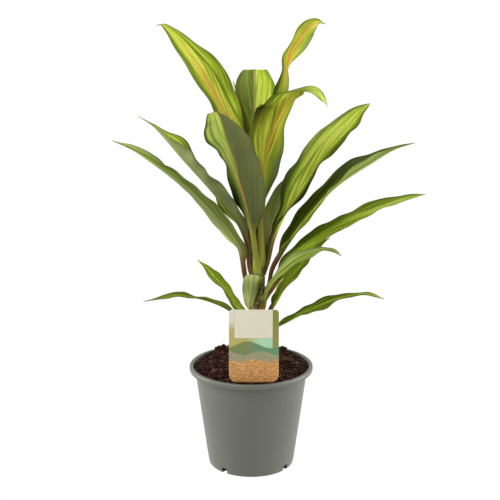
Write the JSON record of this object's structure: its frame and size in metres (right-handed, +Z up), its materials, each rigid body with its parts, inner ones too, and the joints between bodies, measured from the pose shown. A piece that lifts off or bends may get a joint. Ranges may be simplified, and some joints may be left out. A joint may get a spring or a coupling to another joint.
{
  "type": "potted ti plant",
  "caption": "Young ti plant with long, striped, arching stalked leaves on one cane, in soil in a plain tapered nursery pot with a blank stick-in label.",
  "frame": {"origin": "centre of the pot's base, on the surface it stands on", "axes": "+Z up along the plant's height, -Y is the front, where the label stands, +X to the right seen from the front"},
  "size_m": [0.2823, 0.2188, 0.4284],
  "materials": {
    "pot_plastic": "satin moulded grey-taupe plastic",
    "soil": "damp dark brown potting soil with fibres",
    "cane_bark": "brown bark with ring scars",
    "label_card": "printed plastic card",
    "leaf_blade": "smooth striped green leaf with a soft sheen"
  },
  "bodies": {
    "root": {"pot": "pot_plastic", "soil": "soil", "stem": "cane_bark", "plant_label": "label_card", "leaf_upper_left": "leaf_blade", "leaf_upper_right": "leaf_blade", "leaf_back_top": "leaf_blade", "leaf_front_arching": "leaf_blade", "leaf_front_centre": "leaf_blade", "leaf_right_broad": "leaf_blade", "leaf_right_second": "leaf_blade", "leaf_right_third": "leaf_blade", "leaf_right_low_front": "leaf_blade", "leaf_right_lowest": "leaf_blade", "leaf_low_back_right": "leaf_blade", "leaf_low_right": "leaf_blade", "leaf_left_long": "leaf_blade", "leaf_left_upper": "leaf_blade", "leaf_left_small": "leaf_blade", "leaf_left_lowest": "leaf_blade", "leaf_front_short": "leaf_blade", "leaf_young_spear": "leaf_blade", "leaf_back_right": "leaf_blade"}
  },
  "joints": []
}
